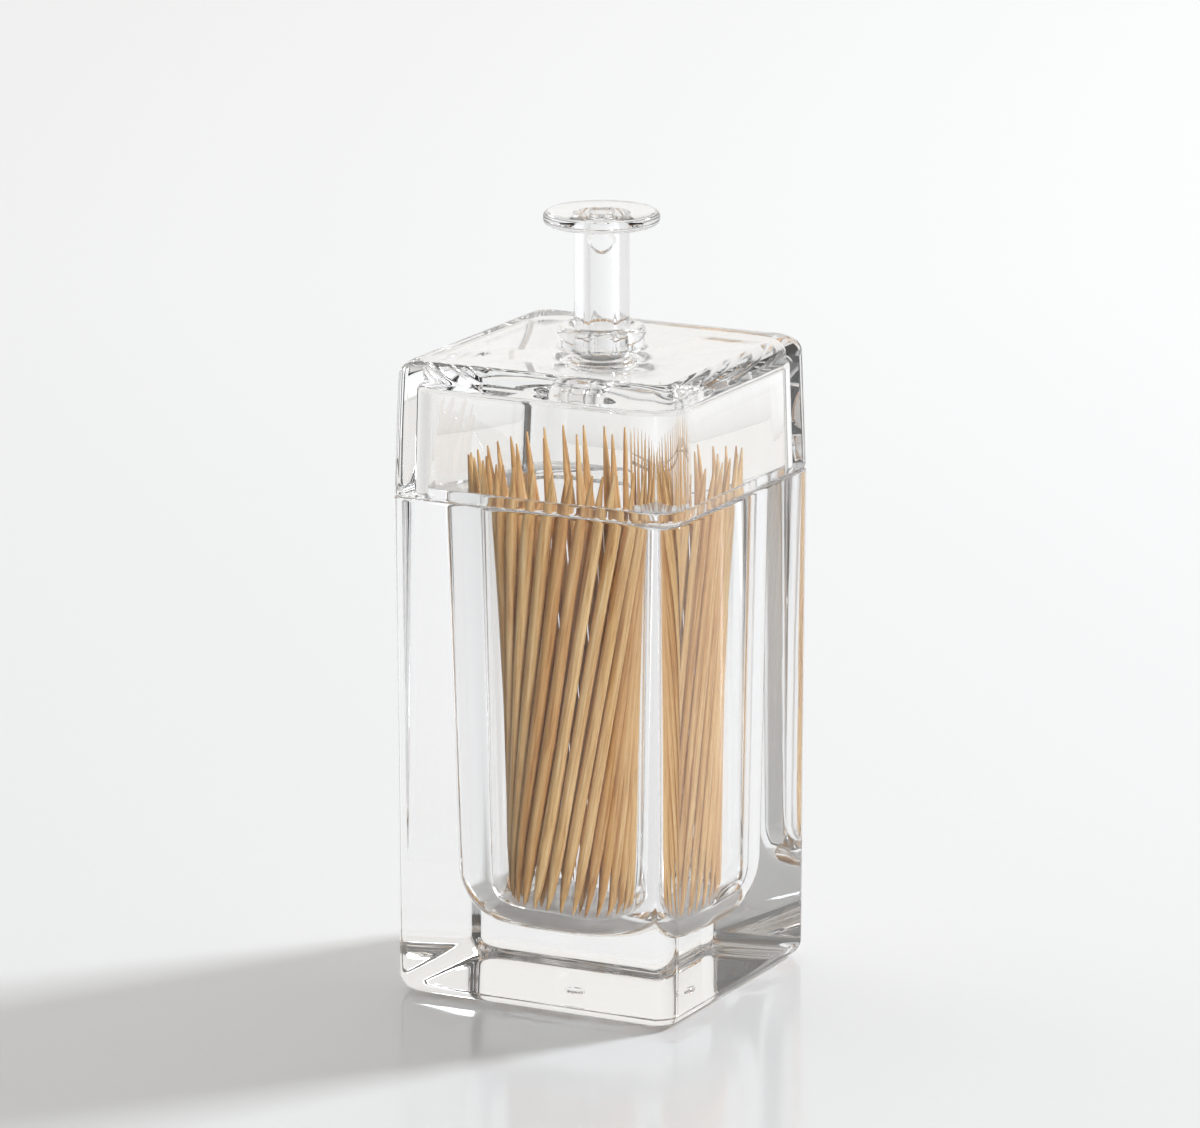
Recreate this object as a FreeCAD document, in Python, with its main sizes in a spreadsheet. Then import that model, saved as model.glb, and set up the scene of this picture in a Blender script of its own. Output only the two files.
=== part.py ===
import FreeCAD, Part

import math
import os

import Sketcher
from FreeCAD import Placement, Rotation, Vector

# A clear square toothpick dispenser: a heavy moulded jar, a lift-off lid and a press plunger in the lid's
# collar, with two leaning rings of double-pointed toothpicks in the jar's well.
# Millimetres, +Z up, the origin at the middle of the face it stands on.

os.makedirs("parts", exist_ok=True)
doc = FreeCAD.newDocument("toothpick_dispenser")

# Driving dimensions: one named value per size that a designer would change by itself.

SIZES = {
    # the jar, outside
    "jar_width": 42.5,
    "jar_draft": 0.25,
    "jar_height": 69.0,
    "corner_radius": 2.4,
    "foot_radius": 2.3,
    "edge_radius": 0.4,
    # the jar, inside
    "wall_at_mouth": 3.3,
    "wall_at_bowl": 4.8,
    "well_flat": 2.4,
    "well_bowl": 6.9,
    "floor_thickness": 9.6,
    "gate_width": 3.0,
    "gate_depth": 0.25,
    # the low rim that centres the lid
    "rim_height": 1.5,
    "rim_fit": 0.2,
    "rim_edge": 0.35,
    "rim_root": 1.0,
    # the lid
    "seam_gap": 0.1,
    "lid_step": 0.05,
    "lid_draft": 0.45,
    "lid_height": 18.4,
    "lid_wall": 1.95,
    "lid_inner_corner": 5.2,
    "lid_inner_draft": 0.3,
    "lid_plate": 3.6,
    "lid_crown": 2.4,
    "lid_ceiling_radius": 0.8,
    # the collar that guides the plunger
    "collar_width": 11.9,
    "collar_height": 3.1,
    "collar_round": 0.9,
    "collar_root": 0.6,
    "collar_mouth": 0.7,
    "guide_clearance": 0.08,
    # the plunger
    "tube_width": 7.5,
    "tube_bore": 3.3,
    "tube_shown": 16.7,
    "tube_below_ceiling": 2.3,
    "tube_lead": 0.5,
    "stop_bead": 0.35,
    "stop_bead_height": 1.2,
    "stop_play": 0.2,
    "button_width": 15.7,
    "button_thickness": 1.9,
    "button_round": 0.85,
    "cap_thickness": 1.3,
    "side_hole": 3.0,
    "side_hole_drop": 1.85,
    "plunger_turn": 27.0,
    # the toothpicks
    "pick_length": 65.0,
    "pick_width": 1.95,
    "pick_taper": 8.0,
    "pick_point": 0.35,
    "pick_seat": 0.3,
    "outer_picks": 38,
    "inner_picks": 19,
    "foot_inset": 3.3,
    "row_spacing": 2.2,
    "row_shift": 0.25,
    "picks_twist": 46.0,
    "wide_sway": 1.2,
    "fine_sway": 0.8,
    "rim_lean": 0.8,
}

sheet = doc.addObject("Spreadsheet::Sheet", "Sizes")
for row, (alias, value) in enumerate(SIZES.items(), start=1):
    sheet.set(f"A{row}", alias)
    sheet.set(f"B{row}", str(value))
    sheet.setAlias(f"B{row}", alias)
doc.recompute()


def size(alias):
    """The number that the sheet holds under an alias."""
    return float(sheet.get(alias))


def sized(text):
    """A formula in aliases, as an expression that reads the sheet."""
    out = text
    for alias in sorted(SIZES, key=len, reverse=True):
        out = out.replace("@" + alias, "Sizes." + alias)
    return out


def number(text):
    """The value of a formula in aliases, for placing a sketch's first geometry."""
    total = text
    for alias in sorted(SIZES, key=len, reverse=True):
        total = total.replace("@" + alias, repr(size(alias)))
    return float(sheet.evalExpression(total))


# Half widths that several pieces share, as formulas.
JAR_HALF = "(@jar_width / 2)"
FOOT_HALF = "(@jar_width / 2 - @jar_draft)"
MOUTH_HALF = "(@jar_width / 2 - @wall_at_mouth)"
BOWL_HALF = "(@jar_width / 2 - @jar_draft - @wall_at_bowl)"
LID_HALF = "(@jar_width / 2 - @lid_step)"
LID_TOP_HALF = "(@jar_width / 2 - @lid_step - @lid_draft)"
ROOM_HALF = "(@jar_width / 2 - @lid_step - @lid_wall)"


def origin_plane(body, role):
    """One of a body's own three origin planes."""
    for feature in body.Origin.OriginFeatures:
        if feature.Role == role:
            return feature
    raise ValueError(role)


def new_body(label):
    """An empty body whose name and label are its file's name."""
    body = doc.addObject("PartDesign::Body", label)
    body.Label = label
    return body


def square_sketch(body, name, half, radius, height):
    """A square with round corners on a level plane. Half width, corner radius and height are formulas."""
    sketch = body.newObject("Sketcher::SketchObject", name)
    sketch.AttachmentSupport = [(origin_plane(body, "XY_Plane"), "")]
    sketch.MapMode = "FlatFace"
    sketch.AttachmentOffset = Placement(Vector(0, 0, number(height)), Rotation())
    sketch.setExpression("AttachmentOffset.Base.z", sized(height))
    a = number(half)
    r = number(radius)
    s = a - r
    corners = [(s, s, 0), (-s, s, 90), (-s, -s, 180), (s, -s, 270)]
    arcs = []
    for cx, cy, start in corners:
        circle = Part.Circle(Vector(cx, cy, 0), Vector(0, 0, 1), r)
        first = math.radians(start)
        arcs.append(sketch.addGeometry(Part.ArcOfCircle(circle, first, first + math.pi / 2), False))
    ends = [
        (Vector(s, a, 0), Vector(-s, a, 0)),
        (Vector(-a, s, 0), Vector(-a, -s, 0)),
        (Vector(-s, -a, 0), Vector(s, -a, 0)),
        (Vector(a, -s, 0), Vector(a, s, 0)),
    ]
    lines = []
    for one, two in ends:
        lines.append(sketch.addGeometry(Part.LineSegment(one, two), False))
    for k in range(4):
        sketch.addConstraint(Sketcher.Constraint("Tangent", arcs[k], 2, lines[k], 1))
        sketch.addConstraint(Sketcher.Constraint("Tangent", lines[k], 2, arcs[(k + 1) % 4], 1))
    for k, direction in enumerate(("Horizontal", "Vertical", "Horizontal", "Vertical")):
        sketch.addConstraint(Sketcher.Constraint(direction, lines[k]))
    for k in range(1, 4):
        sketch.addConstraint(Sketcher.Constraint("Equal", arcs[0], arcs[k]))
    for index, name_of in ((0, "north"), (2, "south")):
        at = sketch.addConstraint(Sketcher.Constraint("Distance", -1, 1, lines[index], a))
        sketch.renameConstraint(at, name_of)
        sketch.setExpression("Constraints." + name_of, sized(half))
    for index, name_of in ((1, "west"), (3, "east")):
        at = sketch.addConstraint(Sketcher.Constraint("Distance", -1, 1, lines[index], a))
        sketch.renameConstraint(at, name_of)
        sketch.setExpression("Constraints." + name_of, sized(half))
    at = sketch.addConstraint(Sketcher.Constraint("Radius", arcs[0], r))
    sketch.renameConstraint(at, "corner")
    sketch.setExpression("Constraints.corner", sized(radius))
    sketch.Visibility = False
    return sketch


def loft(body, kind, name, sketches, ruled):
    """A loft through the sketches, added to or cut from the body."""
    feature = body.newObject("PartDesign::" + kind, name)
    feature.Profile = sketches[0]
    feature.Sections = sketches[1:]
    feature.Ruled = ruled
    doc.recompute()
    return feature


def profile_sketch(body, name, points):
    """A closed outline on the XZ plane; each point is a pair of formulas, radius then height."""
    sketch = body.newObject("Sketcher::SketchObject", name)
    sketch.AttachmentSupport = [(origin_plane(body, "XZ_Plane"), "")]
    sketch.MapMode = "FlatFace"
    places = [Vector(number(x), number(z), 0) for x, z in points]
    count = len(points)
    for k in range(count):
        sketch.addGeometry(Part.LineSegment(places[k], places[(k + 1) % count]), False)
    for k in range(count):
        sketch.addConstraint(Sketcher.Constraint("Coincident", k, 2, (k + 1) % count, 1))
    for k, (x, z) in enumerate(points):
        if places[k].x == 0:
            sketch.addConstraint(Sketcher.Constraint("PointOnObject", k, 1, -2))
        else:
            at = sketch.addConstraint(Sketcher.Constraint("DistanceX", -1, 1, k, 1, places[k].x))
            sketch.renameConstraint(at, f"radius_{k}")
            sketch.setExpression(f"Constraints.radius_{k}", sized(x))
        at = sketch.addConstraint(Sketcher.Constraint("DistanceY", -1, 1, k, 1, places[k].y))
        sketch.renameConstraint(at, f"height_{k}")
        sketch.setExpression(f"Constraints.height_{k}", sized(z))
    sketch.Visibility = False
    return sketch


def turned(body, kind, name, sketch):
    """A full turn of a profile about the body's upright axis."""
    feature = body.newObject("PartDesign::" + kind, name)
    feature.Profile = sketch
    feature.ReferenceAxis = (sketch, ["V_Axis"])
    feature.Angle = 360.0
    doc.recompute()
    return feature


def edges_between(shape, low, high, least, most):
    """Names of the edges that lie between two heights and two distances from the middle."""
    names = []
    for k, edge in enumerate(shape.Edges, start=1):
        box = edge.BoundBox
        if box.ZMin < low or box.ZMax > high:
            continue
        reach = max(abs(box.XMin), abs(box.XMax), abs(box.YMin), abs(box.YMax))
        if least <= reach <= most:
            names.append(f"Edge{k}")
    return names


# How far an edge may lie, in millimetres, from where it is looked for.
NEAR = 0.01


def fillet(body, name, radius, low, high, least, most):
    """Rounds the edges found by height and distance. The radius is a formula."""
    base = body.Tip
    names = edges_between(base.Shape, low - NEAR, high + NEAR, least - NEAR, most + NEAR)
    if not names:
        raise RuntimeError("no edges for " + name)
    feature = body.newObject("PartDesign::Fillet", name)
    feature.Base = (base, names)
    feature.Radius = number(radius)
    feature.setExpression("Radius", sized(radius))
    doc.recompute()
    return feature


# The steps of a rounded border, from the flat to the upright wall: how far each is drawn in, and how far it
# lies from the flat, as shares of the rounding's radius.
BORDER_STEPS = 5
BORDER = []
for step in range(BORDER_STEPS + 1):
    angle = math.radians(90 * step / BORDER_STEPS)
    BORDER.append((1 - math.sin(angle), 1 - math.cos(angle)))


def build_jar():
    """The heavy clear jar: a square block with a round-cornered well, a bowl floor and a low rim."""
    body = new_body("jar")
    foot = []
    for k, (inset, rise) in enumerate(BORDER):
        half = f"{FOOT_HALF} - @foot_radius * {inset:.6f}"
        foot.append(square_sketch(body, f"foot_{k}", half, "@corner_radius", f"@foot_radius * {rise:.6f}"))
    loft(body, "AdditiveLoft", "foot_round", foot, False)
    shoulder = square_sketch(body, "shoulder", JAR_HALF, "@corner_radius", "@jar_height")
    loft(body, "AdditiveLoft", "walls", [foot[-1], shoulder], True)
    rim_half = f"({ROOM_HALF} - @rim_fit)"
    rim_corner = "(@lid_inner_corner - @rim_fit)"
    rim = square_sketch(body, "rim_outline", rim_half, rim_corner, "@jar_height - @rim_root")
    pad = body.newObject("PartDesign::Pad", "rim")
    pad.Profile = rim
    pad.Length = size("rim_root") + size("rim_height")
    pad.setExpression("Length", sized("@rim_root + @rim_height"))
    doc.recompute()
    mouth_z = "@jar_height + @rim_height"
    bowl_z = "@floor_thickness + @well_bowl"
    mouth = square_sketch(body, "well_mouth", MOUTH_HALF, f"{MOUTH_HALF} - @well_flat", mouth_z)
    bowl = []
    for k, (inset, rise) in enumerate(reversed(BORDER)):
        half = f"{BOWL_HALF} - @well_bowl * {inset:.6f}"
        corner = f"{BOWL_HALF} - @well_flat - @well_bowl * {inset:.6f}"
        bowl.append(square_sketch(body, f"bowl_{k}", half, corner, f"@floor_thickness + @well_bowl * {rise:.6f}"))
    before = body.Tip.Shape.Volume
    loft(body, "SubtractiveLoft", "well", [mouth, bowl[0]], True)
    loft(body, "SubtractiveLoft", "bowl", bowl, False)
    least_well = math.pi * number(BOWL_HALF) ** 2 * (size("jar_height") / 2)
    if before - body.Tip.Shape.Volume < least_well:
        raise RuntimeError("the well is not cut")
    gate = body.newObject("Sketcher::SketchObject", "gate_outline")
    gate.AttachmentSupport = [(origin_plane(body, "XY_Plane"), "")]
    gate.MapMode = "FlatFace"
    gate.addGeometry(Part.Circle(Vector(0, 0, 0), Vector(0, 0, 1), size("gate_width") / 2), False)
    gate.addConstraint(Sketcher.Constraint("Coincident", 0, 3, -1, 1))
    at = gate.addConstraint(Sketcher.Constraint("Radius", 0, size("gate_width") / 2))
    gate.renameConstraint(at, "gate")
    gate.setExpression("Constraints.gate", sized("@gate_width / 2"))
    dimple = body.newObject("PartDesign::Pocket", "gate_dimple")
    dimple.Profile = gate
    dimple.Length = size("gate_depth")
    dimple.setExpression("Length", sized("@gate_depth"))
    dimple.Reversed = True
    doc.recompute()
    top = size("jar_height")
    rim_top = top + size("rim_height")
    rim_reach = number(rim_half)
    well_reach = number(MOUTH_HALF)
    fillet(body, "rim_outer_edge", "@rim_edge", rim_top, rim_top, rim_reach, rim_reach)
    fillet(body, "rim_inner_edge", "@rim_edge", rim_top, rim_top, well_reach, well_reach)
    wall_reach = number(JAR_HALF)
    fillet(body, "shoulder_edge", "@edge_radius", top, top, wall_reach, wall_reach)
    return body


def build_lid():
    """The lift-off lid: thin square skirt, thick top plate with a rounded border, and the plunger's collar."""
    body = new_body("lid")
    low = "(@jar_height + @seam_gap)"
    top = "(@jar_height + @seam_gap + @lid_height)"
    skirt = square_sketch(body, "skirt", LID_HALF, "@corner_radius", low)
    crown = []
    for k, (inset, rise) in enumerate(reversed(BORDER)):
        half = f"{LID_TOP_HALF} - @lid_crown * {inset:.6f}"
        crown.append(square_sketch(body, f"crown_{k}", half, "@corner_radius", f"{top} - @lid_crown * {rise:.6f}"))
    loft(body, "AdditiveLoft", "skirt_walls", [skirt, crown[0]], True)
    loft(body, "AdditiveLoft", "crown_round", crown, False)
    before = body.Tip.Shape.Volume
    ceiling = f"({top} - @lid_plate)"
    room_low = square_sketch(body, "room_low", ROOM_HALF, "@lid_inner_corner", low)
    room_top = square_sketch(body, "room_top", f"{ROOM_HALF} - @lid_inner_draft", "@lid_inner_corner", ceiling)
    loft(body, "SubtractiveLoft", "room", [room_low, room_top], True)
    if before - body.Tip.Shape.Volume < number(ROOM_HALF) ** 2 * size("lid_height"):
        raise RuntimeError("the lid is not hollow")
    bore = "(@tube_width / 2 + @guide_clearance)"
    outside = "@collar_width / 2"
    lip = f"({top} + @collar_height)"
    middle = f"({top} - @lid_plate / 2)"
    ring = profile_sketch(
        body,
        "collar_outline",
        [
            (bore, middle),
            (outside, middle),
            (outside, lip),
            (f"{bore} + @collar_mouth", lip),
            (bore, f"{lip} - @collar_mouth"),
        ],
    )
    turned(body, "Revolution", "collar", ring)
    past = "@collar_mouth"
    hole = profile_sketch(
        body,
        "guide_outline",
        [
            ("0", f"{ceiling} - {past}"),
            (bore, f"{ceiling} - {past}"),
            (bore, f"{lip} + {past}"),
            ("0", f"{lip} + {past}"),
        ],
    )
    before = body.Tip.Shape.Volume
    turned(body, "Groove", "guide_bore", hole)
    if body.Tip.Shape.Volume >= before:
        raise RuntimeError("the guide bore is not cut")
    under = number(low)
    roof = number(ceiling)
    inner = number(ROOM_HALF)
    inner_roof = inner - size("lid_inner_draft")
    outer = number(LID_HALF)
    fillet(body, "ceiling_edge", "@lid_ceiling_radius", roof, roof, inner_roof, inner_roof)
    fillet(body, "skirt_edge", "@edge_radius", under, under, outer, outer)
    fillet(body, "room_edge", "@rim_edge", under, under, inner, inner)
    plate = number(top)
    tip = number(lip)
    ring_reach = number(outside)
    fillet(body, "collar_lip", "@collar_round", tip, tip, ring_reach, ring_reach)
    fillet(body, "collar_foot", "@collar_root", plate, plate, ring_reach, ring_reach)
    return body


def build_plunger():
    """The press plunger: a hollow tube with a round button, a side hole and a stop bead at its foot."""
    body = new_body("plunger")
    top = "(@jar_height + @seam_gap + @lid_height)"
    ceiling = f"({top} - @lid_plate)"
    end = f"({ceiling} - @tube_below_ceiling)"
    under = f"({top} + @tube_shown)"
    lid_of = f"({under} + @button_thickness)"
    tube = "(@tube_width / 2)"
    bore = "(@tube_bore / 2)"
    rim = "(@button_width / 2)"
    bead = f"({ceiling} - @stop_play)"
    outline = profile_sketch(
        body,
        "plunger_outline",
        [
            (bore, end),
            (f"{tube} - @tube_lead", end),
            (tube, f"{end} + @tube_lead"),
            (f"{tube} + @stop_bead", f"{bead} - @stop_bead_height"),
            (f"{tube} + @stop_bead", bead),
            (tube, bead),
            (tube, under),
            (rim, under),
            (rim, lid_of),
            ("0", lid_of),
            ("0", f"{lid_of} - @cap_thickness"),
            (bore, f"{lid_of} - @cap_thickness"),
        ],
    )
    turned(body, "Revolution", "turned_form", outline)
    z_under = number(under)
    z_top = number(lid_of)
    reach = number(rim)
    fillet(body, "button_edges", "@button_round", z_under, z_top, reach, reach)
    hole = body.newObject("Sketcher::SketchObject", "side_hole_outline")
    hole.AttachmentSupport = [(origin_plane(body, "XZ_Plane"), "")]
    hole.MapMode = "FlatFace"
    drop = "@jar_height + @seam_gap + @lid_height + @tube_shown - @side_hole_drop"
    hole.addGeometry(Part.Circle(Vector(0, number(drop), 0), Vector(0, 0, 1), size("side_hole") / 2), False)
    hole.addConstraint(Sketcher.Constraint("PointOnObject", 0, 3, -2))
    at = hole.addConstraint(Sketcher.Constraint("DistanceY", -1, 1, 0, 3, number(drop)))
    hole.renameConstraint(at, "middle")
    hole.setExpression("Constraints.middle", sized(drop))
    at = hole.addConstraint(Sketcher.Constraint("Radius", 0, size("side_hole") / 2))
    hole.renameConstraint(at, "hole")
    hole.setExpression("Constraints.hole", sized("@side_hole / 2"))
    before = body.Tip.Shape.Volume
    pocket = body.newObject("PartDesign::Pocket", "side_hole_cut")
    pocket.Profile = hole
    pocket.Length = size("tube_width")
    pocket.setExpression("Length", sized("@tube_width"))
    pocket.Reversed = True
    doc.recompute()
    if body.Tip.Shape.Volume >= before:
        raise RuntimeError("the side hole is not cut")
    body.Placement = Placement(Vector(0, 0, 0), Rotation(Vector(0, 0, 1), size("plunger_turn")))
    body.setExpression("Placement.Rotation.Angle", "Sizes.plunger_turn")
    return body


# A toothpick's taper: how far along it each step lies, and how far its radius has grown there, as shares.
TAPER = ((0.3, 0.38), (0.6, 0.71), (0.85, 0.94), (1.0, 1.0))


def build_pick():
    """One double-pointed toothpick, upright, its lower point at the origin."""
    body = new_body("toothpick_master")
    fine = "@pick_point / 2"
    low = []
    for along, grown in TAPER:
        wide = f"{fine} + (@pick_width - @pick_point) / 2 * {grown}"
        low.append((wide, f"@pick_taper * {along}"))
    high = [(wide, f"@pick_length - {rise}") for wide, rise in reversed(low)]
    ends = [("0", "@pick_length"), ("0", "0")]
    points = [(fine, "0")] + low + high + [(fine, "@pick_length")] + ends
    turned(body, "Revolution", "turned_pick", profile_sketch(body, "pick_outline", points))
    return body


def square_reach(half, corner, angle):
    """How far a round-cornered square reaches from its middle in a direction."""
    c = abs(math.cos(angle))
    s = abs(math.sin(angle))
    flat = half / max(c, s)
    side = min(c, s) * flat
    centre = half - corner
    if side <= centre:
        return flat
    along = centre * (c + s)
    return along + math.sqrt(along * along - 2 * centre * centre + corner * corner)


def floor_height(x, y):
    """The height of the well's bowl floor above a point."""
    half = number(BOWL_HALF)
    centre = size("well_flat")
    qx = max(abs(x) - centre, 0)
    qy = max(abs(y) - centre, 0)
    inside = half - centre - math.hypot(qx, qy)
    if qx == 0 or qy == 0:
        inside = half - max(abs(x), abs(y))
    bowl = size("well_bowl")
    gap = max(bowl - inside, 0)
    return size("floor_thickness") + bowl - math.sqrt(max(bowl * bowl - gap * gap, 0))


def pick_line(row, index, count):
    """Where a toothpick stands on the bowl and the direction in which it leans on the rim."""
    step = row * size("row_spacing")
    turn = 2 * math.pi * (index + size("row_shift") * row) / count
    twist = math.radians(size("picks_twist"))
    sway = math.radians(size("wide_sway")) * math.sin(3 * turn)
    sway += math.radians(size("fine_sway")) * math.sin(5 * turn + 1)
    foot_radius = number(BOWL_HALF) - size("foot_inset") - step
    foot = Vector(foot_radius * math.cos(turn), foot_radius * math.sin(turn), 0)
    foot.z = floor_height(foot.x, foot.y) + size("pick_seat")
    lean = turn + twist + sway
    inset = size("pick_width") / 2 + size("rim_lean") + step
    half = number(MOUTH_HALF)
    reach = square_reach(half - inset, half - size("well_flat") - inset, lean)
    mouth_z = size("jar_height") + size("rim_height")
    mouth = Vector(reach * math.cos(lean), reach * math.sin(lean), mouth_z)
    return foot, mouth - foot


def build_picks(master):
    """Two leaning rings of toothpicks; each one is a piece of its own."""
    picks = []
    shape = master.Shape.copy()
    order = 1
    for row, count_alias in enumerate(("outer_picks", "inner_picks")):
        count = int(size(count_alias))
        for index in range(count):
            foot, direction = pick_line(row, index, count)
            label = f"toothpick_{order:02d}"
            piece = doc.addObject("Part::Feature", label)
            piece.Label = label
            piece.Shape = shape
            piece.Placement = Placement(foot, Rotation(Vector(0, 0, 1), direction))
            picks.append(piece)
            order += 1
    return picks


jar = build_jar()
lid = build_lid()
plunger = build_plunger()
master = build_pick()
doc.recompute()
picks = build_picks(master)
doc.recompute()

for thing in doc.Objects:
    for flag in ("Invalid", "Error"):
        if flag in thing.State:
            raise RuntimeError(f"{thing.Name} is {flag}")

nodes = [jar, lid, plunger] + picks
for piece in nodes:
    if piece.Shape.isNull() or not piece.Shape.isValid():
        raise RuntimeError(piece.Label + " has no valid shape")
    if len(piece.Shape.Solids) != 1:
        raise RuntimeError(piece.Label + " is not one solid")

for piece in nodes:
    piece.Shape.exportStep(f"parts/{piece.Label}.step")

print(f"{len(nodes)} pieces written")
for piece in (jar, lid, plunger):
    box = piece.Shape.BoundBox
    across = f"{box.XLength:.2f} x {box.YLength:.2f} x {box.ZLength:.2f}"
    print(piece.Label, across, f"{piece.Shape.Volume:.0f} mm3")
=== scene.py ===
# %% [markdown]
# A clear toothpick dispenser on a pale table: a heavy square jar, a lift-off lid with a press plunger, and a
# sheaf of double-pointed toothpicks that leans in the jar's nearly round well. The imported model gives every
# place and every motion. This script adds the finer surfaces, the finishes and the light.
# %%
import math
import random

import bmesh
import bpy
from mathutils import Matrix, Quaternion, Vector


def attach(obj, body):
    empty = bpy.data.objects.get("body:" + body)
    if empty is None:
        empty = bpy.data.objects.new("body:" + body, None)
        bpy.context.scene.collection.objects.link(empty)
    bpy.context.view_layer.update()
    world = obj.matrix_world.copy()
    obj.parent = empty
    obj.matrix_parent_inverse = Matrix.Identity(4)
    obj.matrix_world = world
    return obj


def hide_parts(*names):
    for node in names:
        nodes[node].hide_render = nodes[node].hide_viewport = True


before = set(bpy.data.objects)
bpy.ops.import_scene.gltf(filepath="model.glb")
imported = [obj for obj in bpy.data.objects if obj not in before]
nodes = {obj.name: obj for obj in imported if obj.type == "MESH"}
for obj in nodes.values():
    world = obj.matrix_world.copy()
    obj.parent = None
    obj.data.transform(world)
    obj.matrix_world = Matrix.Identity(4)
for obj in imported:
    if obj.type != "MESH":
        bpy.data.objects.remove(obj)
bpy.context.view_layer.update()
picks = sorted(name for name in nodes if name.startswith("toothpick"))
print("nodes", len(nodes), "toothpicks", len(picks))

# %% [markdown]
# Sizes are written in millimetres, as on a drawing, and MM turns them into Blender's metres. Blender can show
# millimetres too, but its lamps and noise patterns still count in metres, so one factor is simpler. The uneven
# wood comes from random draws, and a fixed seed gives the same wood each time.
# %%
MM = 0.001
SEED = 11
random.seed(SEED)
print("one millimetre is", MM, "m")


# %% [markdown]
# Colours are picked on a screen as hex values, which are sRGB, while shaders count in linear light. The linear
# numbers could be typed in, but with one function the colours stay readable.
# %%
def linear(text):
    """A colour as a designer writes it, such as d9b27c, in the linear values that a shader needs."""
    out = []
    for k in (0, 2, 4):
        part = int(text[k:k + 2], 16) / 255
        out.append(part / 12.92 if part <= 0.04045 else ((part + 0.055) / 1.055) ** 2.4)
    return (*out, 1.0)


print("mid grey 808080 is", round(linear("808080")[0], 3), "in linear light")


# %% [markdown]
# The moulded pieces could be boxes and cylinders with bevels, but a jar whose walls bend light needs its curves
# under control. So each piece is a skin stretched over a stack of outlines. An outline is a square with round
# corners; where the corner radius equals the half width it is a circle, so one tool makes the square jar and the
# round tube. Every corner gets the same number of points, so that neighbouring outlines join in clean strips.
# %%
RING_POINTS = 128


def ring(half, corner, height, points=RING_POINTS):
    """One outline: half width, corner radius and height."""
    corner = min(corner, half)
    share = points // 4
    centre = half - corner
    out = []
    for k in range(points):
        quarter_turn, step = divmod(k, share)
        x = centre if quarter_turn in (0, 3) else -centre
        y = centre if quarter_turn in (0, 1) else -centre
        angle = math.pi / 2 * (quarter_turn + step / (share - 1))
        out.append(Vector((x + corner * math.cos(angle), y + corner * math.sin(angle), height)) * MM)
    return out


def circle(radius, height):
    """A round outline that starts and ends where a square's does."""
    return ring(radius, radius, height)


print("points in an outline", len(circle(1, 0)))


# %% [markdown]
# A moulding has no sharp borders: the steel that shapes it is rounded, and so is the plastic. A bevel modifier
# could round the finished mesh, but outlines that follow a quarter circle keep each radius exact.
# %%
LEAST_CORNER = 0.2


def quarter(steps):
    """The sine and cosine of evenly spaced angles from 0 to 90 degrees."""
    angles = [math.pi / 2 * k / steps for k in range(steps + 1)]
    return [(math.sin(angle), math.cos(angle)) for angle in angles]


def rounding(half, corner, radius, flat, rise, steps, shrink=0.0):
    """Outlines of a quarter-round border, from its flat face to its upright side."""
    out = []
    for sine, cosine in quarter(steps):
        inset = radius * (1 - sine)
        tight = max(corner - shrink * inset, LEAST_CORNER)
        out.append(ring(half - inset, tight, flat + rise * radius * (1 - cosine)))
    return out


print("outlines in a border of 8 steps", len(quarter(8)))


# %% [markdown]
# The skin itself: four-sided faces between neighbouring outlines. Edges that turn by more than the crease angle
# stay sharp, and the others shade smoothly, as polished plastic does.
# %%
CREASE = 24
WELD = 0.001


def skin(name, rings, closed=False):
    """A mesh through outlines: capped at both ends, or joined end to end like a tyre."""
    mesh = bpy.data.meshes.new(name)
    form = bmesh.new()
    rows = [[form.verts.new(point) for point in row] for row in rings]
    count = len(rings[0])
    spans = list(zip(rows, rows[1:]))
    if closed:
        spans.append((rows[-1], rows[0]))
    for low, high in spans:
        for k in range(count):
            after = (k + 1) % count
            form.faces.new((low[k], low[after], high[after], high[k]))
    if not closed:
        form.faces.new(list(reversed(rows[0])))
        form.faces.new(rows[-1])
    bmesh.ops.remove_doubles(form, verts=form.verts, dist=WELD * MM)
    bmesh.ops.recalc_face_normals(form, faces=form.faces)
    form.to_mesh(mesh)
    form.free()
    mesh.shade_smooth()
    mesh.set_sharp_from_angle(angle=math.radians(CREASE))
    piece = bpy.data.objects.new(name, mesh)
    bpy.context.scene.collection.objects.link(piece)
    return piece


print("edges stay sharp from", CREASE, "degrees")

# %% [markdown]
# The jar is one heavy moulding. Its outside tapers a little to the foot, so that it leaves its mould. Under the
# foot lies a small sunk disc, where the molten plastic came in. The stack starts there, runs round the foot and up
# the outside, over the narrow shoulder that carries the lid, and up the rim that the lid drops over.
# %%
JAR_TOP = 69.0
JAR_HALF = 21.25
FOOT_HALF = 21.0
CORNER = 2.4
FOOT_ROUND = 2.3
EDGE = 0.4
RIM_TOP = 70.5
RIM_HALF = 19.05
RIM_CORNER = 5.0
RIM_EDGE = 0.35
GATE = 1.5
GATE_DEPTH = 0.25
GATE_FLOOR = 0.8
GATE_WALL = 0.6

jar_rings = [circle(GATE * GATE_FLOOR, GATE_DEPTH), circle(GATE, GATE_DEPTH * GATE_WALL), circle(GATE, 0)]
jar_rings += rounding(FOOT_HALF, CORNER, FOOT_ROUND, 0, 1, 8)
jar_rings += reversed(rounding(JAR_HALF, CORNER, EDGE, JAR_TOP, -1, 4))
jar_rings.append(ring(RIM_HALF, RIM_CORNER, JAR_TOP))
jar_rings += reversed(rounding(RIM_HALF, RIM_CORNER, RIM_EDGE, RIM_TOP, -1, 4))
print("outside of the jar", len(jar_rings), "outlines")

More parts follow.
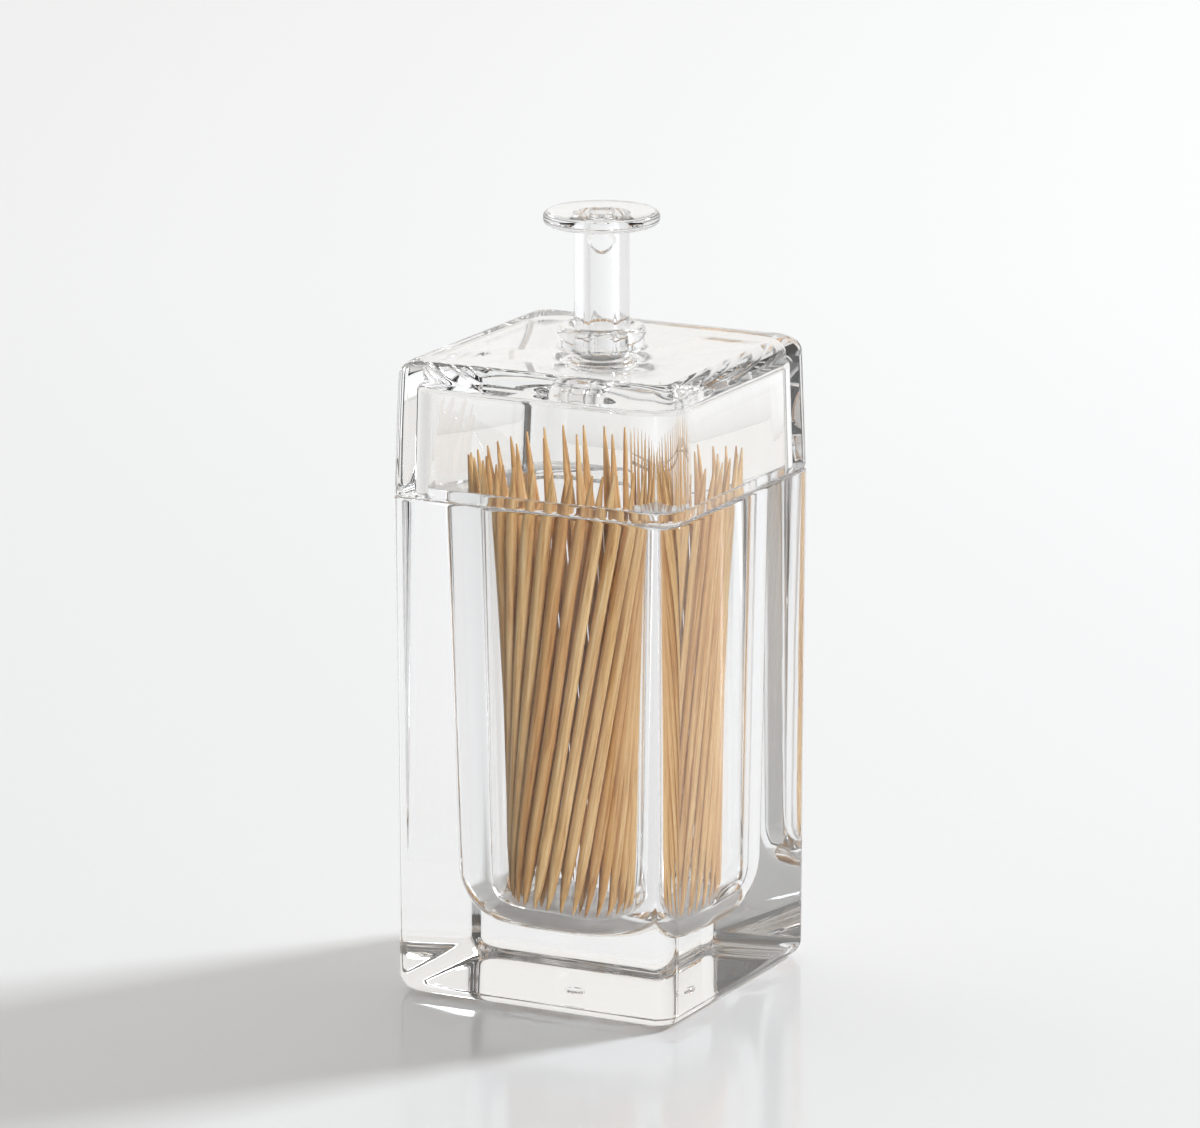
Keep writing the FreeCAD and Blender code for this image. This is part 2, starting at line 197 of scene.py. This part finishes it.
# %% [markdown]
# The well is nearly round in a square block, so the clear corners are thick and bend the light. It could be cut
# out with a boolean, but as a continuation of the same stack it has no seam. It narrows from a round-edged mouth
# to a bowl-shaped floor.
# %%
WELL_TOP = 17.95
WELL_LOW = 16.2
WELL_FLAT = 2.4
FLOOR = 9.6
BOWL = 6.9

for sine, cosine in quarter(4):
    half = WELL_TOP + RIM_EDGE * (1 - sine)
    jar_rings.append(ring(half, half - WELL_FLAT, RIM_TOP - RIM_EDGE * (1 - cosine)))
for sine, cosine in quarter(14):
    half = WELL_LOW - BOWL * (1 - cosine)
    jar_rings.append(ring(half, half - WELL_FLAT, FLOOR + BOWL * (1 - sine)))
jar = skin("moulded_jar", jar_rings)
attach(jar, "jar_body")
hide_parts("jar")
print("jar", len(jar.data.vertices), "points")

# %% [markdown]
# The lid is a thin square skirt under a thick plate with a soft round border. Its stack starts at the bore under
# the ceiling, runs down the inside of the skirt and back up the outside to the top plate.
# %%
LID_LOW = 69.1
LID_TOP = 87.5
LID_HALF_LOW = 21.2
LID_HALF_TOP = 20.75
CROWN = 2.4
CEILING = 83.9
CEILING_ROUND = 0.8
ROOM_LOW = 19.25
ROOM_TOP = 18.95
ROOM_CORNER = 5.2
SKIRT_EDGE = 0.35
SKIRT_CURVE = 0.3
BORE = 3.83

lid_rings = [circle(BORE, CEILING)]
lid_rings += rounding(ROOM_TOP, ROOM_CORNER, CEILING_ROUND, CEILING, -1, 6, 1.0)
lid_rings.append(ring(ROOM_LOW, ROOM_CORNER, LID_LOW + SKIRT_EDGE))
lid_rings.append(ring(ROOM_LOW + SKIRT_EDGE * SKIRT_CURVE, ROOM_CORNER, LID_LOW + SKIRT_EDGE * SKIRT_CURVE))
lid_rings.append(ring(ROOM_LOW + SKIRT_EDGE, ROOM_CORNER, LID_LOW))
lid_rings += rounding(LID_HALF_LOW, CORNER, EDGE, LID_LOW, 1, 4)
lid_rings += reversed(rounding(LID_HALF_TOP, CORNER, CROWN, LID_TOP, -1, 10))
print("skirt and plate of the lid", len(lid_rings), "outlines")

# %% [markdown]
# A small round collar on the plate guides the plunger. It grows out of the plate through a hollow curve and ends
# in a round lip. The stack then dives into the bore and closes on itself, so the lid is one skin with a true hole.
# %%
COLLAR = 5.95
COLLAR_TOP = 90.6
COLLAR_ROUND = 0.9
COLLAR_ROOT = 0.6
MOUTH = 0.7
MOUTH_IN = 0.3
MOUTH_DOWN = 0.35

for sine, cosine in quarter(4):
    lid_rings.append(circle(COLLAR + COLLAR_ROOT * (1 - sine), LID_TOP + COLLAR_ROOT * (1 - cosine)))
for sine, cosine in quarter(6):
    lid_rings.append(circle(COLLAR - COLLAR_ROUND * (1 - cosine), COLLAR_TOP - COLLAR_ROUND * (1 - sine)))
lid_rings.append(circle(BORE + MOUTH, COLLAR_TOP))
lid_rings.append(circle(BORE + MOUTH * MOUTH_IN, COLLAR_TOP - MOUTH * MOUTH_DOWN))
lid_rings.append(circle(BORE, COLLAR_TOP - MOUTH))
lid = skin("moulded_lid", lid_rings, closed=True)
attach(lid, "lid_body")
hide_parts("lid")
print("lid", len(lid.data.vertices), "points")

# %% [markdown]
# The plunger is a hollow tube with a round button. A bead near its low end catches under the lid's ceiling and
# keeps it from being pulled out. The stack starts at the closed top of the bore, runs down the inside, and comes
# back up the outside over the bead to the button.
# %%
TUBE = 3.75
TUBE_BORE = 1.65
TUBE_END = 81.6
LEAD = 0.5
BEAD = 0.35
BEAD_TOP = 83.7
BEAD_LOW = 82.5
BUTTON = 7.85
BUTTON_UNDER = 104.2
BUTTON_TOP = 106.1
BUTTON_ROUND = 0.85
BUTTON_RINGS = (0.4, 0.05)
BORE_TOP = 104.8
BORE_CORNER = 0.3
BORE_CENTRE = 0.1
SMALL_EDGE = 0.15
HOLE_HEIGHT = 102.35
HOLE_ROOM = 2

plunger_rings = [circle(TUBE_BORE * BORE_CENTRE, BORE_TOP), circle(TUBE_BORE - BORE_CORNER, BORE_TOP)]
for height in (BORE_TOP - BORE_CORNER, HOLE_HEIGHT + HOLE_ROOM, HOLE_HEIGHT - HOLE_ROOM, TUBE_END + SMALL_EDGE):
    plunger_rings.append(circle(TUBE_BORE, height))
plunger_rings += [circle(TUBE_BORE + SMALL_EDGE, TUBE_END), circle(TUBE - LEAD, TUBE_END)]
plunger_rings += [circle(TUBE, TUBE_END + LEAD), circle(TUBE + BEAD, BEAD_LOW), circle(TUBE + BEAD, BEAD_TOP)]
for height in (BEAD_TOP, HOLE_HEIGHT - HOLE_ROOM, BUTTON_UNDER - SMALL_EDGE):
    plunger_rings.append(circle(TUBE, height))
plunger_rings.append(circle(TUBE + SMALL_EDGE, BUTTON_UNDER))
plunger_rings += rounding(BUTTON, BUTTON, BUTTON_ROUND, BUTTON_UNDER, 1, 8, 1.0)
plunger_rings += reversed(rounding(BUTTON, BUTTON, BUTTON_ROUND, BUTTON_TOP, -1, 8, 1.0))
plunger_rings += [circle(BUTTON * share, BUTTON_TOP) for share in BUTTON_RINGS]
plunger = skin("press_plunger", plunger_rings)
print("plunger", len(plunger.data.vertices), "points before its hole")

# %% [markdown]
# A small hole goes through one side of the tube under the button. It crosses the tube's own shape, so here a
# boolean is the right tool: a round cutter is taken away from the tube, and then the cutter itself is removed.
# %%
HOLE = 1.5
HOLE_TURN = 27.0
CUTTER_SIDES = 64

facing = Vector((math.sin(math.radians(HOLE_TURN)), -math.cos(math.radians(HOLE_TURN)), 0))
across = facing.to_track_quat("Z", "Y").to_matrix().to_4x4()
drill = bmesh.new()
bmesh.ops.create_cone(
    drill,
    cap_ends=True,
    segments=CUTTER_SIDES,
    radius1=HOLE * MM,
    radius2=HOLE * MM,
    depth=TUBE * MM * 2,
)
drill.transform(Matrix.Translation(facing * TUBE * MM + Vector((0, 0, HOLE_HEIGHT * MM))) @ across)
cutter_mesh = bpy.data.meshes.new("hole_cutter")
drill.to_mesh(cutter_mesh)
drill.free()
cutter = bpy.data.objects.new("hole_cutter", cutter_mesh)
bpy.context.scene.collection.objects.link(cutter)
cut = plunger.modifiers.new("side_hole", "BOOLEAN")
cut.operation = "DIFFERENCE"
cut.solver = "EXACT"
cut.object = cutter
bpy.context.view_layer.objects.active = plunger
bpy.ops.object.modifier_apply(modifier="side_hole")
bpy.data.objects.remove(cutter)
plunger.data.set_sharp_from_angle(angle=math.radians(CREASE))
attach(plunger, "plunger_body")
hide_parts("plunger")
print("plunger", len(plunger.data.vertices), "points with its hole")


# %% [markdown]
# Each toothpick is turned birch, pointed at both ends. The points aren't plain cones: the cutter leaves a slim tip
# that swells slowly into the stick. A list of distances and radii, in millimetres, holds that profile.
# %%
PICK_TAPER = ((0, 0.11), (1.2, 0.25), (3.4, 0.46), (6.0, 0.68), (8.6, 0.87), (11.0, 0.96))


def pick_radius(along, length):
    """The turned radius at a distance from one end."""
    near = min(along, length - along)
    for (a, ra), (b, rb) in zip(PICK_TAPER, PICK_TAPER[1:]):
        if near <= b:
            return ra + (rb - ra) * (near - a) / (b - a)
    return PICK_TAPER[-1][1]


print("radius at the tip and in the middle", pick_radius(0, 65), pick_radius(32, 65), "mm")


# %% [markdown]
# One shared mesh for all the sticks would look like plastic. Cheap turned wood is a little bent, slightly oval, and
# uneven at its points, so each stick is whittled by itself, with its own draws.
# %%
PICK_SIDES = 20
PICK_CREASE = 50
POINT_STATIONS = [0, 0.5, 1.2, 2.2, 3.4, 4.7, 6.0, 7.3, 8.6, 9.8, 11.0]
POINT_LENGTH = 11.0
MIDDLE_SPANS = 12
MOST_BEND = 0.05
MOST_OVAL = 0.03
MOST_SKEW = 0.05
SKEW_LENGTH = 4
LEAST_WIDE = 0.985


def whittle(name, length):
    """A toothpick along its own Z, with the unevenness of turned wood."""
    mesh = bpy.data.meshes.new(name)
    form = bmesh.new()
    middle_length = length - 2 * POINT_LENGTH
    middle = [POINT_LENGTH + middle_length * k / MIDDLE_SPANS for k in range(1, MIDDLE_SPANS)]
    stations = POINT_STATIONS + middle + [length - at for at in reversed(POINT_STATIONS)]
    bend = random.uniform(0, MOST_BEND)
    aim = random.uniform(0, 2 * math.pi)
    oval = random.uniform(0.0, MOST_OVAL)
    skew = [random.uniform(-MOST_SKEW, MOST_SKEW) for _ in range(2)]
    rows = []
    for at in stations:
        wide = pick_radius(at, length) * random.uniform(LEAST_WIDE, 1.0)
        near = min(at, length - at)
        lean = skew[0 if at < length / 2 else 1] * max(0, 1 - near / SKEW_LENGTH)
        off = bend * math.sin(math.pi * at / length) + lean
        row = []
        for k in range(PICK_SIDES):
            angle = 2 * math.pi * k / PICK_SIDES
            reach = wide * (1 - oval * (0.5 + 0.5 * math.cos(2 * angle + aim)))
            x = reach * math.cos(angle) + off * math.cos(aim)
            y = reach * math.sin(angle) + off * math.sin(aim)
            row.append(form.verts.new(Vector((x, y, at)) * MM))
        rows.append(row)
    for low, high in zip(rows, rows[1:]):
        for k in range(PICK_SIDES):
            after = (k + 1) % PICK_SIDES
            form.faces.new((low[k], low[after], high[after], high[k]))
    form.faces.new(list(reversed(rows[0])))
    form.faces.new(rows[-1])
    form.to_mesh(mesh)
    form.free()
    mesh.shade_smooth()
    mesh.set_sharp_from_angle(angle=math.radians(PICK_CREASE))
    return mesh


print("sides of a stick", PICK_SIDES)


# %% [markdown]
# The sheaf leans and twists in the well. Each stick could be placed by hand, but the solids already stand right and
# clear of one another, so the middles of a solid's two points give the place and the lean of its stick.
# %%
POINT_BAND = 0.2


def pick_ends(solid):
    """The middles of a solid toothpick's two points."""
    points = [vertex.co.copy() for vertex in solid.data.vertices]
    low = min(point.z for point in points)
    high = max(point.z for point in points)
    foot = [point for point in points if point.z < low + POINT_BAND * MM]
    tip = [point for point in points if point.z > high - POINT_BAND * MM]
    return sum(foot, Vector()) / len(foot), sum(tip, Vector()) / len(tip)


sheaf = []
for name in picks:
    foot, tip = pick_ends(nodes[name])
    span = tip - foot
    piece = bpy.data.objects.new("birch_" + name[-2:], whittle("birch_" + name[-2:], span.length / MM))
    bpy.context.scene.collection.objects.link(piece)
    roll = Quaternion((0, 0, 1), random.uniform(0, 2 * math.pi))
    lean = span.to_track_quat("Z", "Y") @ roll
    piece.matrix_world = Matrix.Translation(foot) @ lean.to_matrix().to_4x4()
    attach(piece, "jar_body")
    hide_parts(name)
    sheaf.append(piece)
print("toothpicks", len(sheaf), "of", round(span.length / MM, 1), "mm")


# %% [markdown]
# A finish is a tree of shader nodes. It could be wired by hand in the editor, but a script says each setting once.
# One small function adds a node of any kind with its settings and its links.
# %%
def new_material(name):
    """A material with an empty node tree."""
    material = bpy.data.materials.new(name)
    material.use_nodes = True
    material.node_tree.nodes.clear()
    return material


def add(tree, kind, settings=None, values=None, links=None):
    """Adds a node. settings are its properties, values its unlinked sockets, links where its inputs come from."""
    node = tree.nodes.new("ShaderNode" + kind)
    for key, value in (settings or {}).items():
        setattr(node, key, value)
    for key, value in (values or {}).items():
        node.inputs[key].default_value = value
    for key, source in (links or {}).items():
        tree.links.new(source, node.inputs[key])
    return node


print("node helper ready")


# %% [markdown]
# Moulded acrylic, polished: no colour of its own and a refractive index of 1.49. A perfectly flat surface would look
# like a drawing, so broad, very shallow sink ripples from the mould bend the light a little. Hairline wear shows
# only as a slightly uneven gloss; real scratches are finer than a pixel, so they are drawn as coarse as 0.9 mm.
# %%
CLEAR_IOR = 1.49
HAIRLINE = 0.9
HAIRLINE_RANGE = (0.62, 0.8)
WORN_ROUGHNESS = 0.05


def clear_plastic(name, ripple_mm, ripple_height):
    """Moulded acrylic with ripples of a given spacing and height, both in millimetres."""
    material = new_material(name)
    tree = material.node_tree
    place = add(tree, "TexCoord")
    ripple = add(
        tree,
        "TexNoise",
        values={"Scale": 1 / (ripple_mm * MM), "Detail": 1.0, "Roughness": 0.4},
        links={"Vector": place.outputs["Object"]},
    )
    lines = add(
        tree,
        "TexNoise",
        values={"Scale": 1 / (HAIRLINE * MM), "Detail": 3.0, "Distortion": 2.0},
        links={"Vector": place.outputs["Object"]},
    )
    gloss = add(
        tree,
        "MapRange",
        values={"From Min": HAIRLINE_RANGE[0], "From Max": HAIRLINE_RANGE[1], "To Max": WORN_ROUGHNESS},
        links={"Value": lines.outputs["Fac"]},
    )
    bump = add(
        tree,
        "Bump",
        values={"Strength": 1.0, "Distance": ripple_height * MM},
        links={"Height": ripple.outputs["Fac"]},
    )
    surface = add(
        tree,
        "BsdfPrincipled",
        values={"Base Color": linear("ffffff"), "IOR": CLEAR_IOR, "Transmission Weight": 1.0},
        links={"Roughness": gloss.outputs["Result"], "Normal": bump.outputs["Normal"]},
    )
    add(tree, "OutputMaterial", links={"Surface": surface.outputs["BSDF"]})
    return material


print("refractive index", CLEAR_IOR)

# %% [markdown]
# The jar's thick walls shrink more as they cool, so its ripples are broader and deeper than those of the thin lid
# and plunger.
# %%
heavy = clear_plastic("clear_acrylic_heavy", 11.0, 0.015)
thin = clear_plastic("clear_acrylic_thin", 9.0, 0.004)
jar.data.materials.append(heavy)
lid.data.materials.append(thin)
plunger.data.materials.append(thin)
print("clear pieces", jar.name, lid.name, plunger.name)


# %% [markdown]
# Raw turned birch, with no varnish. Its grain runs along the stick, so a noise pattern is stretched 11 mm long and
# 0.45 mm wide; the real fibres are finer, and this is as fine as the picture shows. An image of wood would repeat
# itself from stick to stick, while noise that is shifted by each stick's own random number doesn't.
# %%
GRAIN_WIDE = 0.45
GRAIN_LONG = 11


def grain_streaks(tree, stick):
    """Noise drawn out along the object's own Z, in a different place on each stick."""
    place = add(tree, "TexCoord")
    shift = add(tree, "CombineXYZ", links={"X": stick.outputs["Random"], "Y": stick.outputs["Random"]})
    moved = add(tree, "VectorMath", links={0: place.outputs["Object"], 1: shift.outputs["Vector"]})
    stretch = add(
        tree,
        "Mapping",
        values={"Scale": (1 / (GRAIN_WIDE * MM), 1 / (GRAIN_WIDE * MM), 1 / (GRAIN_LONG * MM))},
        links={"Vector": moved.outputs["Vector"]},
    )
    return add(
        tree,
        "TexNoise",
        values={"Scale": 1.0, "Detail": 5.0, "Roughness": 0.62, "Distortion": 0.4},
        links={"Vector": stretch.outputs["Vector"]},
    )


print("grain", GRAIN_WIDE, "by", GRAIN_LONG, "mm")


# %% [markdown]
# The grain runs from a brown late wood to a cream early wood through a colour ramp. Sticks come from different
# boards, some redder and some paler, so a second ramp tints each whole stick by its random number.
# %%
GRAIN_COLOURS = ((0.28, "b98450"), (0.5, "edc893"), (0.72, "ffebc6"))
STICK_TINTS = ((0.0, "dfc294"), (1.0, "fffcec"))
TINT_SHARE = 0.8


def fill_ramp(ramp, stops):
    """Puts positions and colours, in rising order, into a colour ramp that starts with two stops."""
    for element, (at, shade) in zip(ramp.elements, (stops[0], stops[-1])):
        element.position = at
        element.color = shade
    for at, shade in stops[1:-1]:
        ramp.elements.new(at).color = shade


def wood_colour(tree, grain, stick):
    """The grain's own colours, multiplied by the tint of the stick."""
    colour = add(tree, "ValToRGB", links={"Fac": grain.outputs["Fac"]})
    fill_ramp(colour.color_ramp, [(at, linear(text)) for at, text in GRAIN_COLOURS])
    tint = add(tree, "ValToRGB", links={"Fac": stick.outputs["Random"]})
    fill_ramp(tint.color_ramp, [(at, linear(text)) for at, text in STICK_TINTS])
    mixed = add(
        tree,
        "Mix",
        settings={"data_type": "RGBA", "blend_type": "MULTIPLY"},
        values={0: TINT_SHARE},
        links={6: colour.outputs["Color"], 7: tint.outputs["Color"]},
    )
    return mixed.outputs[2]


print("grain colours", len(GRAIN_COLOURS), "tints", len(STICK_TINTS))


# %% [markdown]
# Cut fibres scatter light, so the wood has a dull sheen that is a little duller in the dark grain, and a shallow
# bump of 0.04 mm gives it fine ribs.
# %%
RIB_HEIGHT = 0.04
DULL_ROUGHNESS = 0.62
SHEEN_ROUGHNESS = 0.48


def birch(name):
    """Raw turned birch with grain along the object's own Z."""
    material = new_material(name)
    tree = material.node_tree
    stick = add(tree, "ObjectInfo")
    grain = grain_streaks(tree, stick)
    rough = add(
        tree,
        "MapRange",
        values={"From Min": 0.3, "From Max": 0.7, "To Min": DULL_ROUGHNESS, "To Max": SHEEN_ROUGHNESS},
        links={"Value": grain.outputs["Fac"]},
    )
    ribs = add(
        tree,
        "Bump",
        values={"Strength": 0.6, "Distance": RIB_HEIGHT * MM},
        links={"Height": grain.outputs["Fac"]},
    )
    surface = add(
        tree,
        "BsdfPrincipled",
        values={"IOR": 1.5},
        links={
            "Base Color": wood_colour(tree, grain, stick),
            "Roughness": rough.outputs["Result"],
            "Normal": ribs.outputs["Normal"],
        },
    )
    add(tree, "OutputMaterial", links={"Surface": surface.outputs["BSDF"]})
    return material


wood = birch("turned_birch")
for piece in sheaf:
    piece.data.materials.append(wood)
print("wooden pieces", len(sheaf))

# %% [markdown]
# The solids under the dressed pieces are hidden, but a reader who turns them on should find them in the same two
# finishes.
# %%
for name, solid in nodes.items():
    solid.data.materials.clear()
    solid.data.materials.append(wood if name in picks else heavy)
print("hidden solids finished", len(nodes))

# %% [markdown]
# The table is a pale, slightly glossy sheet that mirrors the room softly. White paint alone would need strong lamps
# to look white, and they would wash out the object. So where the camera, a gloss ray or a ray through the clear
# plastic meets the table, 12 % of what it sees is a plain pale value and the rest is lit paint with the shadow.
# %%
TABLE_GLOW = 0.12
TABLE_SIZE_M = 7.0
TABLE_DROP = 0.02

bpy.ops.mesh.primitive_plane_add(size=TABLE_SIZE_M, location=(0, 0, -TABLE_DROP * MM))
table = bpy.context.object
table.name = "table_top"
material = new_material("pale_table")
tree = material.node_tree
ray = add(tree, "LightPath")
either = add(
    tree,
    "Math",
    settings={"operation": "MAXIMUM"},
    links={0: ray.outputs["Is Camera Ray"], 1: ray.outputs["Is Glossy Ray"]},
)
any_ray = add(
    tree,
    "Math",
    settings={"operation": "MAXIMUM"},
    links={0: either.outputs["Value"], 1: ray.outputs["Is Transmission Ray"]},
)
share = add(
    tree,
    "Math",
    settings={"operation": "MULTIPLY"},
    values={1: TABLE_GLOW},
    links={0: any_ray.outputs["Value"]},
)
sheet = add(tree, "BsdfPrincipled", values={"Base Color": linear("f5f5f5"), "Roughness": 0.12})
glow = add(tree, "Emission", values={"Color": linear("f6f8f7")})
both = add(
    tree,
    "MixShader",
    links={0: share.outputs["Value"], 1: sheet.outputs["BSDF"], 2: glow.outputs["Emission"]},
)
add(tree, "OutputMaterial", links={"Surface": both.outputs["Shader"]})
table.data.materials.append(material)
print("table", TABLE_SIZE_M, "m wide")

# %% [markdown]
# Clear plastic shows little but its surroundings. An even white room would make its edges vanish, so the room is
# bright behind the object and dark on the camera's side, and the dark side draws the lines in the clear edges. A
# ramp along the camera's heading gives each direction its level.
# %%
CAMERA_TURN = 27.02
ROOM_STOPS = ((0.0, 1.4), (0.33, 1.25), (0.5, 0.52), (0.68, 0.14), (1.0, 0.10))
ROOM_WARMTH = (1.0, 0.985, 0.955)
ROOM_STRENGTH = 0.66
turn = math.radians(CAMERA_TURN)

world = bpy.data.worlds.new("soft_room")
bpy.context.scene.world = world
world.use_nodes = True
tree = world.node_tree
tree.nodes.clear()
place = add(tree, "TexCoord")
toward = add(
    tree,
    "VectorMath",
    settings={"operation": "DOT_PRODUCT"},
    values={1: (math.sin(turn), -math.cos(turn), 0)},
    links={0: place.outputs["Generated"]},
)
level = add(tree, "MapRange", values={"From Min": -1.0}, links={"Value": toward.outputs["Value"]})
walls = add(tree, "ValToRGB", links={"Fac": level.outputs["Result"]})
fill_ramp(walls.color_ramp, [(at, (*(bright * part for part in ROOM_WARMTH), 1)) for at, bright in ROOM_STOPS])
ray = add(tree, "LightPath")
view = add(
    tree,
    "Mix",
    settings={"data_type": "RGBA"},
    values={7: linear("f8faf9")},
    links={0: ray.outputs["Is Camera Ray"], 6: walls.outputs["Color"]},
)
back = add(tree, "Background", values={"Strength": ROOM_STRENGTH}, links={"Color": view.outputs[2]})
add(tree, "OutputWorld", links={"Surface": back.outputs["Background"]})
print("room levels", [bright for at, bright in ROOM_STOPS])


# %% [markdown]
# A lamp of some size gives a shadow with a soft border. The key stands behind on the right, so the shadow falls to
# the front left. It is slightly cool and the room slightly warm, which makes the shadow warm on a neutral table.
# %%
def softbox(name, place_m, target_m, size_m, power, colour):
    """A square lamp that faces a point."""
    lamp = bpy.data.lights.new(name, "AREA")
    lamp.shape = "RECTANGLE"
    lamp.size = size_m
    lamp.size_y = size_m
    lamp.energy = power
    lamp.color = linear(colour)[:3]
    holder = bpy.data.objects.new(name, lamp)
    bpy.context.scene.collection.objects.link(holder)
    holder.location = place_m
    holder.rotation_euler = (Vector(target_m) - Vector(place_m)).to_track_quat("-Z", "Y").to_euler()
    return holder


KEY_PLACE = (0.95, 1.35, 1.05)
KEY_AIM = (0, 0, 0.04)
KEY_SIZE = 0.36
KEY_WATTS = 37
softbox("key_behind_right", KEY_PLACE, KEY_AIM, KEY_SIZE, KEY_WATTS, "f5f9ff")
print("key", KEY_WATTS, "W")

# %% [markdown]
# A real lamp's light bends through the clear walls and lands on the wood, but the renderer can't follow lamp light
# through plastic well, and the sheaf would stay dark. So a second lamp at the front right lights the wood alone.
# Light linking says what it lights, and that only the sheaf and the table block it.
# %%
FRONT_PLACE = (0.95, -0.75, 0.75)
FRONT_AIM = (0, 0, 0.05)
FRONT_SIZE = 0.45
FRONT_WATTS = 12.5


def group(name, members):
    """A collection for light linking."""
    found = bpy.data.collections.new(name)
    for member in members:
        found.objects.link(member)
    return found


fill = softbox("fill_front", FRONT_PLACE, FRONT_AIM, FRONT_SIZE, FRONT_WATTS, "fffcf6")
fill.light_linking.blocker_collection = group("solid_things", sheaf + [table])
fill.light_linking.receiver_collection = group("wooden_things", sheaf)
print("front lamp", FRONT_WATTS, "W, on", len(sheaf), "pieces")

# %% [markdown]
# The camera has a long lens and stands a metre away, a little above the lid, so the jar's sides stay nearly
# parallel. Its turn, rise, distance and aim were fitted to the straight edges of the jar in the picture.
# %%
CAMERA_RISE = 13.7
DISTANCE = 1004.2
AIM_SIDE = -0.252
AIM_HEIGHT = 57.47
ROLL = -0.047
FOCAL_PIXELS = 7439.4
IMAGE_WIDTH = 1200
SENSOR = 36.0
NEAR_CLIP_M = 0.01
rise = math.radians(CAMERA_RISE)
roll = math.radians(ROLL)

backward = Vector((math.sin(turn) * math.cos(rise), -math.cos(turn) * math.cos(rise), math.sin(rise)))
rightward = Vector((math.cos(turn), math.sin(turn), 0))
upward = backward.cross(rightward)
right = rightward * math.cos(roll) + upward * math.sin(roll)
up = upward * math.cos(roll) - rightward * math.sin(roll)
spot = (rightward * AIM_SIDE + Vector((0, 0, AIM_HEIGHT)) + backward * DISTANCE) * MM
lens = bpy.data.cameras.new("long_lens")
lens.sensor_width = SENSOR
lens.lens = FOCAL_PIXELS / IMAGE_WIDTH * SENSOR
lens.clip_start = NEAR_CLIP_M
camera = bpy.data.objects.new("long_lens", lens)
bpy.context.scene.collection.objects.link(camera)
camera.matrix_world = Matrix(
    (
        (right.x, up.x, backward.x, spot.x),
        (right.y, up.y, backward.y, spot.y),
        (right.z, up.z, backward.z, spot.z),
        (0, 0, 0, 1),
    )
)
scene = bpy.context.scene
scene.camera = camera
print("lens", round(lens.lens, 1), "mm")

# %% [markdown]
# Clear plastic needs long light paths: a ray crosses eight or more faces before it leaves, and a path that is cut
# short turns black. The plain Standard view keeps the colours as they are written.
# %%
scene.view_settings.view_transform = "Standard"
scene.cycles.max_bounces = 24
scene.cycles.transmission_bounces = 24
scene.cycles.glossy_bounces = 12
scene.cycles.transparent_max_bounces = 16
print("bounces", scene.cycles.max_bounces)
